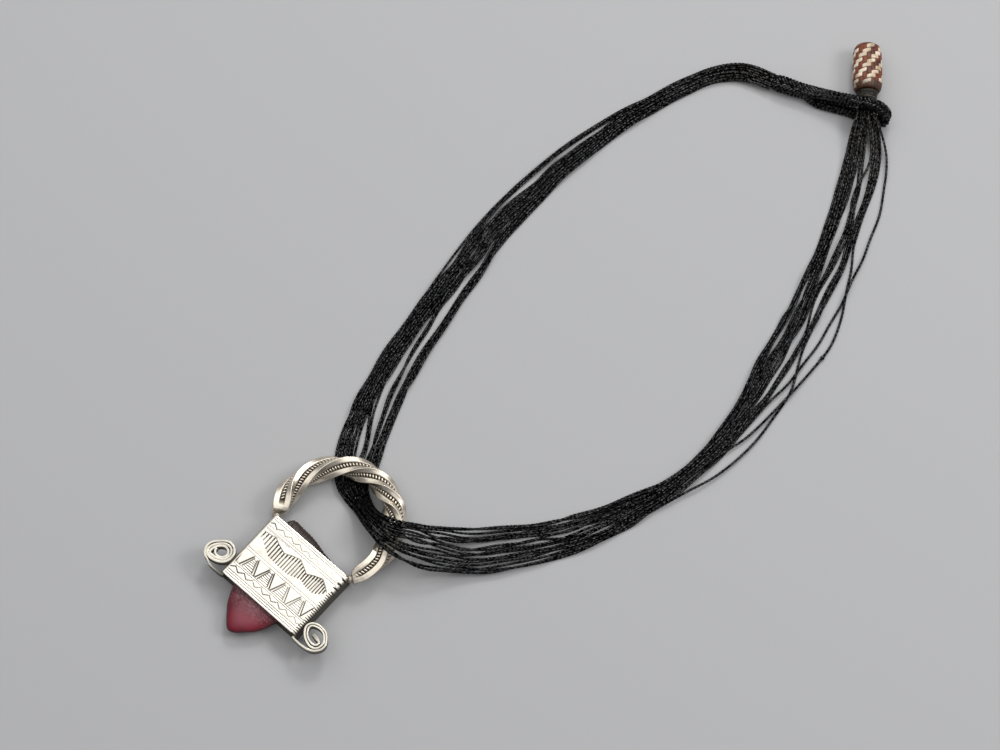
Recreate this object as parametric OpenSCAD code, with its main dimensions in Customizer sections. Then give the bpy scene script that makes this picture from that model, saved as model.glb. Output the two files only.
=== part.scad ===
// Folk pendant of silver and red stone on a necklace of waxed cords, lying on a flat surface.
// +Z is up from the surface, +Y runs from the stone's tip to the bail, and the origin is the middle
// of the pendant's outline on the surface. All sizes are in millimetres.

/* [Sleeve] */
// Width of the silver sleeve that wraps the stone
sleeve_w = 37.4; // [36:0.1:38.5]
// Height of the sleeve, from its open bottom to its open top
sleeve_h = 29.4; // [28:0.1:30]
// Thickness of the sleeve, back to front
sleeve_t = 9; // [8.6:0.1:9.2]
// Thickness of the sheet silver
sheet_t = 0.8; // [0.6:0.05:0.85]
// Outer radius of the sleeve's bent corners
sleeve_r = 1.4; // [1.1:0.1:2]

/* [Scrolls] */
// Width of the silver strip that is rolled into each scroll
strip_w = 3.5; // [3.2:0.1:3.8]
// Thickness of the strip
strip_t = 0.8; // [0.6:0.05:0.9]
// Outer radius of a scroll's first half turn
scroll_r = 5.4; // [5.2:0.1:5.6]
// Distance between one turn and the next
scroll_pitch = 1.35; // [1.3:0.05:1.5]

/* [Bail] */
// Outer radius of the bail
bail_r = 25.6; // [25:0.1:26]
// Thickness of the twisted bar, corner to corner
bail_bar = 9.2; // [8.6:0.1:9.3]
// Depth of the beaded channel along each face of the bar
channel_d = 0.6; // [0.3:0.1:0.9]
// Width of the channel, as a share of the face
channel_w = 0.3; // [0.2:0.02:0.4]
// Twist of the bar: its strength, in degrees of twist for each degree of the arctangent
twist_gain = 4.88; // [4.5:0.02:5.2]

/* [Stone] */
// Thickness of the stone at its middle
stone_t = 6; // [5.4:0.1:6.1]

/* [Cords] */
// Diameter of each leg of the braided loop
leg_d = 4.2; // [3.8:0.1:4.3]

/* [Toggle] */
// Diameter of the toggle at its fullest
toggle_d = 11.8; // [11.4:0.1:12]
// Length of the toggle
toggle_l = 20.2; // [19.8:0.1:20.3]
// Length of the thread binding under the toggle
binding_l = 4.6; // [4:0.1:4.7]

/* [Hidden] */

// Middle of the sleeve, seen from above, and the height of its middle above the surface
sleeve_at = [-0.7, -13, sleeve_t / 2];
sleeve_top = sleeve_at.y + sleeve_h / 2;
// Height of the scrolls' back edge above the surface
strip_z = 6.5;

// Each scroll: [x, y of its middle, side, half turns, degrees that its tail leans]
scrolls = [
    [-24.5, -22.4, -1, 5, -4.5],
    [24.3, -24, 1, 6, 8]
];
// Length of a scroll's straight tail, which is soldered to the sleeve's corner
tail_l = 7;

// Middle of the bail's ring, and the ring angles of its two ends
bail_at = [-0.9, 16, 5.9];
bail_start = 214.6;
bail_end = -35;
// Ring angle where the bar is twisted tightest, how far the twist spreads, and its phase
twist_mid = 73;
twist_spread = 75;
twist_phase = 19;
bail_steps = 66;
// Thickness of the bar near its ends: [degrees from the end, share of the full thickness]
bail_taper = [[0, 0.42], [3, 0.64], [8, 0.9], [16, 1], [180, 1]];
// Depth of the channel near the ends, where it runs out: [degrees from the end, share]
channel_fade = [[0, 0], [9, 0], [13, 1], [180, 1]];
// Share of a face that the bar's worn edge takes, and the share that a channel's sloping wall takes
worn_edge = 0.03;
channel_wall = 0.05;
// Seat of solder between each end of the bail and the sleeve's corner
solder_r = 1.5;
solder_l = 2.4;
solder_in = 1;
solder_side = 0.2;

// Outline of the stone, [x, y], clockwise from the highest corner of its top edge
stone_outline = [
    [-12.6, 5.3], [-8.5, 5.1], [-4.4, 4.9], [-0.3, 4.2], [3.8, 3.2], [8, 2.6], [12, 2],
    [12.6, 0], [12.2, -8], [11, -18], [9.3, -25.5], [8.2, -29.1], [6.7, -32.8], [4.9, -35.7],
    [2.6, -38], [-0.3, -40.7], [-2.4, -41.6], [-4.1, -41.1], [-5.8, -39.5], [-8, -37],
    [-10.3, -34.1], [-12.4, -29.8], [-13.6, -26], [-14.4, -18], [-15, -8], [-15.1, 0],
    [-14.6, 3.6]
];
stone_mid = [-1.2, -13];
// Profile of the stone through its thickness: [height as a share of half the thickness, size]
stone_profile = [[-1, 0.74], [-0.86, 0.86], [-0.5, 0.96], [-0.1, 1], [0.15, 1], [0.5, 0.96],
                 [0.8, 0.87], [0.95, 0.74], [1, 0.6]];

// Route of the cord bundle from the toggle to the braided loop. It passes over the bail's right
// side and under its top. Columns: [x, y, height of its middle, half width, half height]
bundle_route = [
    [38.95, 280, 5.9, 3.3, 2.3],
    [39.9, 278.7, 6.2, 3.8, 1.8],
    [41.6, 276.3, 6.4, 4.3, 1.4],
    [43.2, 274.3, 6.1, 5.2, 1.2],
    [44.9, 272.3, 5, 6.4, 1.1],
    [47.4, 269.4, 3.4, 7.4, 1],
    [50.1, 266.1, 2.2, 8, 0.9],
    [53, 262, 1.4, 8.6, 0.9],
    [61, 248, 0.9, 9.8, 0.8],
    [70, 227, 0.8, 10, 0.7],
    [75.5, 209.5, 0.8, 9.5, 0.7],
    [80.5, 192.5, 0.8, 10.5, 0.7],
    [85, 166, 0.9, 8.8, 0.8],
    [88, 143, 1, 7, 0.9],
    [87.5, 126, 1.3, 5, 1.2],
    [84, 108, 1.8, 3.6, 1.7],
    [79, 95.5, 1.3, 5.4, 1.2],
    [72.5, 79, 1, 7.6, 0.85],
    [60, 60, 1.15, 8.4, 0.9],
    [46, 43.5, 2.6, 9, 0.9],
    [34, 31.5, 7.2, 8.6, 1],
    [27, 26.5, 10.6, 8, 1],
    [20, 24, 11.9, 6.8, 1.1],
    [14, 23.4, 11.6, 4.7, 1.3],
    [7.5, 24.3, 7.4, 3.7, 1.9],
    [0.5, 26.8, 2.7, 5, 1.3],
    [-7, 30.3, 0.9, 6.6, 0.65],
    [-12, 37.5, 0.75, 8.6, 0.55],
    [-17.5, 48, 0.8, 9.5, 0.7],
    [-24.7, 68.5, 0.8, 9, 0.7],
    [-30, 90, 0.8, 7.8, 0.7],
    [-35, 125, 0.8, 7.6, 0.7],
    [-37.5, 153, 0.9, 6.8, 0.8],
    [-35.5, 181, 0.9, 6.4, 0.8],
    [-30, 213, 0.9, 6.4, 0.8],
    [-20, 244, 1.3, 4, 1.2],
    [-9.5, 259, 1.7, 4.2, 1.6],
    [3.8, 264.2, 2.8, 3.6, 2.6]
];
bundle_rings = 55;
bundle_section = [
    [1, -0.4], [1, 0.4], [0.72, 1], [-0.72, 1], [-1, 0.4], [-1, -0.4], [-0.72, -1], [0.72, -1]
];

// Route of the braided loop: along the stem, over the bound neck, round it and back beneath.
// Columns: [x, y, height of its middle, half width, half height]
leg = leg_d / 2;
loop_route = [
    [4.3, 264.4, 2.8, 3.5, 2.5],
    [9, 266.1, 3, 3.3, 2.6],
    [14.7, 268.2, 3.3, 3, 2.6],
    [19.4, 270.2, 4.4, 2.6, 2.3],
    [24.4, 272.2, 5.9, 2.3, leg],
    [29.6, 274.2, 7.7, leg, leg],
    [34.8, 276, 9.6, leg, leg],
    [39.5, 278, 10.9, leg, leg],
    [43.2, 279.9, 10.3, leg, leg],
    [46.4, 281, 7.6, leg, leg],
    [48, 280.8, 4.6, leg, leg],
    [46.8, 278.8, 2.6, leg, leg],
    [43.2, 277, 2.2, leg, leg],
    [38.3, 275.3, 2.2, leg, leg],
    [33.4, 273.6, 2.2, leg, leg],
    [28.8, 271.5, 2.15, leg * 0.98, leg * 0.98],
    [24.8, 269.7, 2, leg * 0.9, leg * 0.9]
];
// The braid's width keeps to this direction, level and square to the stem
loop_sideways = [-0.36, 0.93, 0];
loop_rings = 25;

// Toggle, lying on its side: middle of its rounded end, and the way it points
toggle_at = [22.8, 299.9];
toggle_turn = -51;
// Profile from the rounded end to the neck: [share of the length, share of the radius]
toggle_profile = [
    [0, 0.5], [0.012, 0.68], [0.045, 0.83], [0.1, 0.92], [0.2, 0.96], [0.55, 0.99], [0.75, 1],
    [0.88, 0.98], [0.95, 0.92], [0.985, 0.84], [1, 0.74]
];
// Radius of the binding at the toggle and at the cords, and its gap to the toggle
binding_r1 = 4.7;
binding_r2 = 3.7;
gap = 0.15;
// Step along a route that its direction is taken over
eps = 0.01;

// Catmull-Rom value of column c of a table at position s, counted in rows
function row(t, i) = t[max(0, min(len(t) - 1, i))];
function spline(p0, p1, p2, p3, u) =
    p1 + 0.5 * u * (p2 - p0 + u * (2 * p0 - 5 * p1 + 4 * p2 - p3 + u * (3 * (p1 - p2) + p3 - p0)));
function along(t, s) =
    let (i = min(floor(s), len(t) - 2)) spline(row(t, i - 1), t[i], t[i + 1], row(t, i + 2), s - i);

// One ring of a band that is swept along a route. Its section stays level across the route, or its
// width keeps to the one direction that is given as sideways
function band_ring(route, section, s, sideways = undef) =
    let (c = along(route, s),
         d = along(route, min(s + eps, len(route) - 1)) - along(route, max(s - eps, 0)),
         ahead = [d.x, d.y, d.z] / norm([d.x, d.y, d.z]),
         across = is_undef(sideways) ? [-d.y, d.x, 0] : sideways - (sideways * ahead) * ahead,
         side = across / norm(across),
         up = cross(ahead, side))
    [for (q = section) [c.x, c.y, c.z] + side * q[0] * c[3] + up * q[1] * c[4]];
function round_section(n) = [for (i = [0:n - 1]) [cos(360 * i / n), sin(360 * i / n)]];

// Closed skin over rings of points, each ring counter-clockwise seen from the last ring
module skin(rings) {
    n = len(rings[0]);
    last = (len(rings) - 1) * n;
    polyhedron(
        points = [for (r = rings) each r],
        faces = concat(
            [[for (j = [0:n - 1]) j]],
            [for (i = [0:len(rings) - 2], j = [0:n - 1], k = [0:1])
                let (a = i * n + j, b = i * n + (j + 1) % n)
                k == 0 ? [a, a + n, b] : [b, a + n, b + n]],
            [[for (j = [n - 1:-1:0]) last + j]]
        ),
        convexity = 6
    );
}

// Flat outline with round corners, made of squares and circles
module rounded_plate(w, h, r) {
    square([w - 2 * r, h], center = true);
    square([w, h - 2 * r], center = true);
    for (x = [-1, 1], y = [-1, 1])
        translate([x * (w / 2 - r), y * (h / 2 - r)]) circle(r, $fn = 48);
}

// The sleeve: a flat tube of sheet silver, open at both ends
module sleeve() {
    translate(sleeve_at) rotate([90, 0, 0])
        linear_extrude(height = sleeve_h, center = true)
            difference() {
                rounded_plate(sleeve_w, sleeve_t, sleeve_r);
                rounded_plate(sleeve_w - 2 * sheet_t, sleeve_t - 2 * sheet_t, sleeve_r - sheet_t);
            }
}

// A scroll: half rings about two middles in turn, each smaller than the last, and a straight tail
module scroll(half_turns) {
    r0 = scroll_r - strip_t;
    for (k = [0:half_turns - 1]) {
        r = r0 - k * scroll_pitch / 2;
        odd = k % 2;
        translate([-odd * scroll_pitch / 2, 0, 0]) rotate([0, 0, 180 * odd])
            rotate_extrude(angle = 180, $fn = 72) translate([r, strip_z]) square([strip_t, strip_w]);
    }
    translate([r0, -tail_l, strip_z]) cube([strip_t, tail_l, strip_w]);
}

module scroll_pair() {
    for (c = scrolls)
        translate([c[0], c[1], 0]) rotate([0, 0, -c[2] * c[4]])
            mirror([c[2] < 0 ? 1 : 0, 0, 0]) rotate([0, 0, -90]) scroll(c[3]);
}

// One section of the bail's bar, a square with a channel along each face, turned by the twist
function bar_section(a, depth) =
    let (in0 = 0.5 - channel_w / 2, in1 = 0.5 + channel_w / 2,
         floor0 = in0 + channel_wall, floor1 = in1 - channel_wall,
         d = depth / sqrt(2))
    [for (k = [0:3], f = [worn_edge, in0, floor0, floor1, in1, 1 - worn_edge])
        let (sunk = (f > in0 && f < in1) ? d : 0, x = a * (1 - f) - sunk, y = a * f - sunk)
        [x * cos(90 * k) - y * sin(90 * k), x * sin(90 * k) + y * cos(90 * k)]];
function bail_ring(angle) =
    let (from_end = min(bail_start - angle, angle - bail_end),
         a = bail_bar / 2 * lookup(from_end, bail_taper),
         turn = -twist_phase - twist_gain * atan((twist_mid - angle) / twist_spread),
         rc = bail_r - a)
    [for (q = bar_section(a, channel_d * lookup(from_end, channel_fade)))
        let (out = q[0] * cos(turn) - q[1] * sin(turn), up = q[0] * sin(turn) + q[1] * cos(turn))
        bail_at + [(rc + out) * cos(angle), (rc + out) * sin(angle), up]];

// The bail: the twisted bar, bent round, with a short seat of solder on each corner of the sleeve
module bail() {
    skin([for (i = [0:bail_steps]) bail_ring(bail_start + (bail_end - bail_start) * i / bail_steps)]);
    for (x = [-1, 1])
        translate([sleeve_at.x + x * (sleeve_w / 2 - solder_side), sleeve_top - solder_in, bail_at.z])
            rotate([-90, 0, 0]) cylinder(h = solder_l, r = solder_r, $fn = 32);
}

module silver_mount() {
    color([0.78, 0.75, 0.68]) union() {
        sleeve();
        scroll_pair();
        bail();
    }
}

// The stone: its outline at each level of the profile, smaller towards the back and the front
module stone() {
    n = len(stone_outline);
    smooth = [for (i = [0:2 * n - 1])
        let (k = floor(i / 2))
        spline(stone_outline[(k + n - 1) % n], stone_outline[k], stone_outline[(k + 1) % n],
               stone_outline[(k + 2) % n], (i % 2) / 2)];
    color([0.45, 0.13, 0.17])
        skin([for (p = stone_profile)
            [for (i = [2 * n - 1:-1:0])
                let (q = stone_mid + (smooth[i] - stone_mid) * p[1])
                [q.x, q.y, sleeve_at.z + p[0] * stone_t / 2]]]);
}

module cord_bundle() {
    last = bundle_rings - 1;
    color([0.07, 0.07, 0.075])
        skin([for (i = [0:last])
            band_ring(bundle_route, bundle_section, i * (len(bundle_route) - 1) / last)]);
}

module braided_loop() {
    last = loop_rings - 1;
    color([0.06, 0.06, 0.065])
        skin([for (i = [0:last])
            band_ring(loop_route, round_section(8), i * (len(loop_route) - 1) / last, loop_sideways)]);
}

// Lays a turned piece on its side along the toggle's line, starting a distance from its round end
module on_toggle_line(start) {
    translate([toggle_at.x, toggle_at.y, toggle_d / 2]) rotate([0, 0, toggle_turn])
        translate([start, 0, 0]) rotate([0, 90, 0]) children();
}

module neck_binding() {
    color([0.2, 0.19, 0.16]) on_toggle_line(toggle_l + gap)
        cylinder(h = binding_l, r1 = binding_r1, r2 = binding_r2, $fn = 48);
}

module toggle() {
    color([0.45, 0.22, 0.15]) on_toggle_line(0)
        rotate_extrude($fn = 72)
            polygon(concat([[0, 0]],
                           [for (p = toggle_profile) [p[1] * toggle_d / 2, p[0] * toggle_l]],
                           [[0, toggle_l]]));
}

silver_mount();
stone();
cord_bundle();
braided_loop();
neck_binding();
toggle();
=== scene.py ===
import math
import bpy
import numpy as np
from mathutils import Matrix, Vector


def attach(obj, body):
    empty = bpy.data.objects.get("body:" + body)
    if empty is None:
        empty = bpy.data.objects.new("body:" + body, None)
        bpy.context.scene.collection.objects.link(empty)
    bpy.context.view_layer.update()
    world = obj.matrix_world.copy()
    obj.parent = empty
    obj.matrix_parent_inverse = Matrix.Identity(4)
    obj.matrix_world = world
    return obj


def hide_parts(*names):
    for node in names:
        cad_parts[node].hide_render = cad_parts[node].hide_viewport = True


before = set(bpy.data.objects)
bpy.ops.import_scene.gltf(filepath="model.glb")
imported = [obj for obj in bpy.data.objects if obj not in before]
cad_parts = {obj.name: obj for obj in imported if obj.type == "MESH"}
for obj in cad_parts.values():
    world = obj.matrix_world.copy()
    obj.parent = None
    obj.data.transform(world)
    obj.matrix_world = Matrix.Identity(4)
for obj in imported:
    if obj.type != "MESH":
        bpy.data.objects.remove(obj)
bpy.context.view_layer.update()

MM = 0.001

# The camera is a long lens on a stand over the surface. It looks down steeply from beyond the
# pendant's lower right, so the pendant lies turned in the picture.
aim_at = Vector((4.5, 100.6, 0)) * MM
camera_at = Vector((250.5, -177.4, 992.9)) * MM
bpy.ops.object.camera_add(location=camera_at)
camera = bpy.context.object
camera.name = "stand_camera"
camera.rotation_euler = (aim_at - camera_at).to_track_quat("-Z", "Y").to_euler()
camera.data.lens = 100
camera.data.sensor_width = 36
bpy.context.scene.camera = camera


# The necklace is sixteen cords of twisted cotton, waxed black. They run loose side by side from the
# bound neck at the toggle, over the right side of the bail and under its top, to the braided loop.
cord_d = 1.05
cord_names = "ABCDEFGHIJKLMNOP"
# Route of the bundle's middle: [x, y, height of the middle, half width, half height], in mm
bundle_route = (
    (38.95, 280, 5.9, 3.3, 2.3), (39.9, 278.7, 6.2, 3.8, 1.8), (41.6, 276.3, 6.4, 4.3, 1.4),
    (43.2, 274.3, 6.1, 5.2, 1.2), (44.9, 272.3, 5, 6.4, 1.1), (47.4, 269.4, 3.4, 7.4, 1),
    (50.1, 266.1, 2.2, 8, 0.9), (53, 262, 1.4, 8.6, 0.9), (61, 248, 0.9, 9.8, 0.8),
    (70, 227, 0.8, 10, 0.7), (75.5, 209.5, 0.8, 9.5, 0.7), (80.5, 192.5, 0.8, 10.5, 0.7),
    (85, 166, 0.9, 8.8, 0.8), (88, 143, 1, 7, 0.9), (87.5, 126, 1.3, 5, 1.2),
    (84, 108, 1.8, 3.6, 1.7), (79, 95.5, 1.3, 5.4, 1.2), (72.5, 79, 1, 7.6, 0.85),
    (60, 60, 1.15, 8.4, 0.9), (46, 43.5, 2.6, 9, 0.9), (34, 31.5, 7.2, 8.6, 1),
    (27, 26.5, 10.6, 8, 1), (20, 24, 11.9, 6.8, 1.1), (14, 23.4, 11.6, 4.7, 1.3),
    (7.5, 24.3, 7.4, 3.7, 1.9), (0.5, 26.8, 2.7, 5, 1.3), (-7, 30.3, 0.9, 6.6, 0.65),
    (-12, 37.5, 0.75, 8.6, 0.55), (-17.5, 48, 0.8, 9.5, 0.7), (-24.7, 68.5, 0.8, 9, 0.7),
    (-30, 90, 0.8, 7.8, 0.7), (-35, 125, 0.8, 7.6, 0.7), (-37.5, 153, 0.9, 6.8, 0.8),
    (-35.5, 181, 0.9, 6.4, 0.8), (-30, 213, 0.9, 6.4, 0.8), (-20, 244, 1.3, 4, 1.2),
    (-9.5, 259, 1.7, 4.2, 1.6), (3.8, 264.2, 2.8, 3.6, 2.6),
)
# How the cords lie across the route. Each row: mm along the route, then groups of cords, each with
# its cords from left to right and the places of the first and last of them, left of the route
cord_lie = (
    (0, "ABCDEFGHIJKLMNOP 2.3 -2.3"),
    (5, "ABCDEFGHIJKLMNOP 3.6 -3.9"),
    (9, "A 4.7 4.7 BCD 4.1 2.9 EFGHIJKLMNOP 1.4 -5.6"),
    (12, "A 6.3 6.3 BCD 5.0 3.4 EF 2.1 1.4 GHIJKLMNOP 0.2 -6.3"),
    (16, "A 7.6 7.6 BCDE 5.6 3.4 F 2.0 2.0 GHIJKLMNOP -0.6 -7.1"),
    (25, "A 8.6 8.6 BCD 5.6 3.7 EF 2.6 1.7 GH -0.9 -1.9 IJKLMNOP -3.2 -8.0"),
    (35, "A 9.2 9.2 BCDE 4.5 2.3 GHF -0.6 -2.0 IJKLMNOP -3.8 -9.2"),
    (42, "A 9.4 9.4 BCDE 3.7 2.1 GHF -0.7 -2.7 IJKLMNOP -4.2 -9.2"),
    (50, "A 9.1 9.1 BCDEGFH 3.4 -1.1 JIKLNMOP -4.7 -9.3"),
    (60, "A 8.6 8.6 BCD 3.2 1.8 EG 0.3 -0.4 FH -1.7 -2.1 JIKLNM -5.8 -7.2 OP -8.3 -9.3"),
    (68, "A 8.0 8.0 B 6.2 6.2 CDE 2.9 1.7 GFH -0.6 -2.4 JIKL -5.0 -6.7 NMOP -8.2 -9.4"),
    (76, "AB 8.1 7.6 CDE 2.8 1.1 GFH -2.0 -2.7 JIKL -4.2 -6.6 NMOP -8.3 -9.4"),
    (84, "B 9.3 9.3 A 7.9 7.9 CDE 2.5 0.7 GFHJI -2.6 -4.9 KL -6.1 -6.9 NMOP -8.3 -9.4"),
    (92, "B 10.2 10.2 A 7.0 7.0 DCE 1.9 0.3 G -1.3 -1.3 FHJI -2.8 -4.6 LK -6.0 -7.1 MNOP -8.7 -9.8"),
    (100, "B 11.4 11.4 A 6.6 6.6 CDEG 1.7 0.5 FHIJLK -2.8 -6.5 MNPO -8.4 -9.9"),
    (107, "B 10.6 10.6 A 6.1 6.1 C 2.9 2.9 DEG 1.6 0.3 HFIJLK -2.6 -6.5 MNPO -8.6 -9.8"),
    (115, "B 9.2 9.2 AC 5.7 5.1 DGE 1.7 0.5 HF -1.9 -2.9 IJLK -4.9 -6.5 MN -8.1 -8.7 PO -9.5 -9.8"),
    (123, "BC 7.9 7.4 A 4.6 4.6 DGE 1.6 0.4 HFI -1.8 -3.6 LJK -5.1 -6.6 MN -7.9 -8.4 PO -9.2 -9.6"),
    (130, "C 7.7 7.7 B 6.9 6.9 A 3.1 3.1 DGE 1.8 0.5 HFI -1.7 -3.0 LJKNM -4.2 -6.9 OP -7.9 -8.3"),
    (140, "C 7.2 7.2 B 5.2 5.2 ADGEHFI 1.0 -4.0 LJNKMOP -4.9 -6.9"),
    (150, "C 6.5 6.5 B 2.8 2.8 ADGEHIF 0.6 -3.7 LNJKOMP -5.2 -6.6"),
    (158, "C 6.2 6.2 ABDGEHIF 0.8 -3.3 NLJOKMP -4.2 -5.8"),
    (165, "C 5.7 5.7 ADBEGHIF 0.9 -3.2 NJLOKMP -3.6 -5.0"),
    (175, "C 3.8 3.8 AD 1.5 0.9 EBGHIFNJOLKPM -0.8 -4.4"),
    (182, "CA 2.9 2.3 DEBHGIFJNOLKPM 0.5 -4.6"),
    (190, "CADEBHGIJFNOLKPM 3.2 -4.8"),
    (200, "ACDEBHGJIFNOLPKM 4.3 -5.9"),
    (210, "ACEDBH 4.9 2.0 GJIFONLPKM 0.8 -6.9"),
    (216, "CAEDBH 5.5 2.3 JGI 0.7 -1.4 FONLPKM -2.9 -7.1"),
    (222, "CA 6.2 5.6 EDBH 4.3 2.8 JG 1.4 0.8 IO -0.3 -1.5 FNLPKM -3.1 -7.1"),
    (230, "CA 6.9 6.5 EDBH 4.9 2.6 JIG 1.4 0.0 FO -1.5 -2.4 NLPMK -3.2 -7.2"),
    (240, "CA 7.8 7.3 EBD 5.7 3.6 H 2.6 2.6 JI 1.2 0.5 OG -0.9 -2.0 FNLPMK -3.6 -7.6"),
    (250, "AC 8.5 7.9 E 6.5 6.5 BDH 4.6 2.8 JI 1.2 0.6 GO -0.6 -1.3 FLN -3.6 -4.9 PMK -6.6 -8.2"),
    (258, "AC 8.9 8.2 EB 7.1 6.1 DH 4.8 3.7 JI 2.2 1.6 GO 0.5 -0.5 LFN -3.3 -4.7 P -6.4 -6.4 MK -7.8 -8.6"),
    (266, "AEC 8.5 7.1 B 6.2 6.2 DH 4.4 3.9 IJ 2.0 1.4 OG 0.4 -0.4 FLN -2.6 -4.9 P -6.2 -6.2 KM -7.9 -8.5"),
    (274, "AE 8.1 7.5 C 6.3 6.3 BD 4.4 3.8 I 2.2 2.2 HJOGL 0.2 -4.3 F -4.3 -4.3"
          " N -6.2 -6.2 PK -7.5 -8.1 M -8.1 -8.1"),
    (282, "AE 8.0 7.4 BCDIH 4.5 0.9 OJLG -1.4 -4.3 NFP -6.0 -6.6 KM -7.2 -7.7"),
    (288, "EA 7.1 6.5 CBDIH 4.6 1.2 JOLG -1.1 -4.1 FNP -5.8 -6.3 KM -6.6 -7.0"),
    (294, "EABCIDHJOLGFNPKM 5.4 -5.8"),
    (300, "AEBICDJHLOGFPNKM 4.3 -4.6"),
    (306, "AEIBCJDHLGOPFNMK 3.3 -3.2"),
    (313, "AIEBJCDLHGPOFNMK 3.2 -3.4"),
    (321, "IAEJBCDLHGPOFNMK 5.9 -5.6"),
    (329, "IAJEBCDL 8.0 1.0 HGPOFNMK -0.3 -8.4"),
    (336, "IAJEBCDL 8.3 1.6 HG -1.9 -2.8 POFNMK -4.4 -8.4"),
    (345, "IJAEBDCL 8.6 2.2 HG -0.3 -1.3 OP -4.0 -4.8 FMNK -5.9 -8.4"),
    (352, "JIAEDBCL 8.3 2.2 HG 1.5 0.6 OP -3.3 -4.1 FMNK -5.6 -8.1"),
    (360, "JIAEDBHCLG 7.8 1.1 OP -2.5 -3.2 MFNK -5.6 -7.8"),
    (370, "JAIEDHBCGL 7.4 0.6 OP -2.5 -3.1 MFKN -5.6 -8.0"),
    (380, "JAEIHDBGCL 6.6 0.4 PO -2.4 -3.0 MFKN -5.6 -8.0"),
    (390, "JEAHIDGBCL 6.4 0.0 PO -2.1 -2.6 MFKN -5.7 -8.0"),
    (400, "JEHAIGDBLCPO 6.3 -1.7 MFKN -5.5 -7.5"),
    (410, "EJHAGIDLBPCO 6.3 -2.1 MKFN -5.3 -7.2"),
    (420, "E 6.5 6.5 JHGAILDPBOC 4.5 -2.6 MK -4.8 -5.3 FN -6.5 -7.1"),
    (430, "EJ 6.1 5.2 GHALIPDOBC 4.4 -2.9 KMFN -4.6 -6.3"),
    (440, "EJGHLAPIODCBKMNF 5.9 -5.9"),
    (447, "EJG 5.9 4.5 LHAPOICDKBMNF 2.6 -6.4"),
    (455, "EGJ 5.8 4.3 LHPAOCIDKMBNF 2.1 -6.2"),
    (463, "EGJ 5.6 4.5 LPHAC 1.4 -1.4 OIKDMBNF -2.3 -5.5"),
    (472, "GEJ 5.5 4.6 PLHCAOIKDMNBF 1.9 -4.5"),
    (482, "GEJ 5.4 4.5 PLCHAOKIMDNBF 1.8 -4.4"),
    (492, "GJE 5.0 4.0 PCLHOAKIMNDFB 1.6 -4.1"),
    (500, "GJE 4.7 3.6 CPLOHKAMINDFB 1.2 -3.7"),
    (508, "GJECPOLKHMAINFDB 4.1 -3.5"),
    (520, "GJCEOPKLMHIANFBD 3.0 -3.4"),
    (530, "JGCOEKPMLIHANBFD 2.4 -3.4"),
    (545, "JCGOKEPMLIHNABFD 2.9 -2.9"),
    (556, "CJOGKEMPILNHBAFD 3.5 -3.3"),
    (566, "COJGKMEPINLHBAFD 3.6 -3.4"),
    (574, "COJGKMEPINLHBAFD 3.3 -3.3"),
)


def spline(rows, per_row):
    """Points on a Catmull-Rom line through the rows, per_row of them from one row to the next."""
    p = np.array([rows[0], *rows, rows[-1]], float)
    u = np.linspace(0, 1, per_row, endpoint=False)[:, None]
    parts = [
        b + 0.5 * u * (c - a + u * (2 * a - 5 * b + 4 * c - d + u * (3 * (b - c) + d - a)))
        for a, b, c, d in zip(p, p[1:], p[2:], p[3:])
    ]
    return np.vstack(parts + [p[-1:]])


def evenly(points, step, axes=3):
    """The same line with points a step apart, and how far along each one is."""
    gaps = np.linalg.norm(np.diff(points[:, :axes], axis=0), axis=1)
    run = np.concatenate([[0], np.cumsum(gaps)])
    at = np.linspace(0, run[-1], round(run[-1] / step) + 1)
    return np.column_stack([np.interp(at, run, c) for c in points.T]), at


def unit(v):
    """Vectors of the same directions, one long."""
    return v / np.linalg.norm(v, axis=-1, keepdims=True)


def circle(count):
    """That many angles, evenly spaced round a circle."""
    return np.arange(count) / count * 2 * math.pi


def round_section(count):
    """A round section of radius 1, with that many points."""
    return np.stack([np.cos(circle(count)), np.sin(circle(count))], axis=-1)


def skin(name, rings, closed=False):
    """A smooth closed mesh over rings of points in mm, with its length and its way round as UV."""
    n, m = rings.shape[:2]
    verts = rings.reshape(-1, 3) * MM
    i, j = np.meshgrid(np.arange(n - (not closed)), np.arange(m), indexing="ij")
    a, b = i * m + j, i * m + (j + 1) % m
    c, d = (i + 1) % n * m + (j + 1) % m, (i + 1) % n * m + j
    quads = np.stack([a, b, c, d], axis=-1).reshape(-1, 4)
    faces = quads.tolist()
    if not closed:
        faces += [list(range(m))[::-1], list(range((n - 1) * m, n * m))]
    mesh = bpy.data.meshes.new(name)
    mesh.from_pydata(verts.tolist(), [], faces)
    mesh.polygons.foreach_set("use_smooth", [True] * len(faces))
    steps = np.linalg.norm(np.diff(rings.mean(axis=1), axis=0), axis=1)
    run = np.concatenate([[0], np.cumsum(steps)])
    u = np.stack([run[i], run[i], run[(i + 1) % n], run[(i + 1) % n]], axis=-1).reshape(-1)
    v = np.stack([j, j + 1, j + 1, j], axis=-1).reshape(-1) / m
    uv = np.zeros((len(mesh.loops), 2))
    uv[: len(u)] = np.column_stack([u, v])
    mesh.uv_layers.new(name="UVMap").data.foreach_set("uv", uv.reshape(-1))
    made = bpy.data.objects.new(name, mesh)
    bpy.context.collection.objects.link(made)
    return made


def sweep(name, line, toward, section):
    """A skin over a section that is carried along a line, its width kept towards a direction."""
    ahead = unit(np.gradient(line, axis=0))
    toward = np.broadcast_to(toward, line.shape)
    side = unit(toward - (toward * ahead).sum(axis=1, keepdims=True) * ahead)
    up = np.cross(ahead, side)
    across, high = section[..., 0, None], section[..., 1, None]
    return skin(name, line[:, None] + across * side[:, None] + high * up[:, None])


# The bail's bar as far as the cords need it: square, corner to corner this far, and twisted
bail_bar = 9.2
bail_r = 25.6
bail_at = (-0.9, 16, 5.9)
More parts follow.
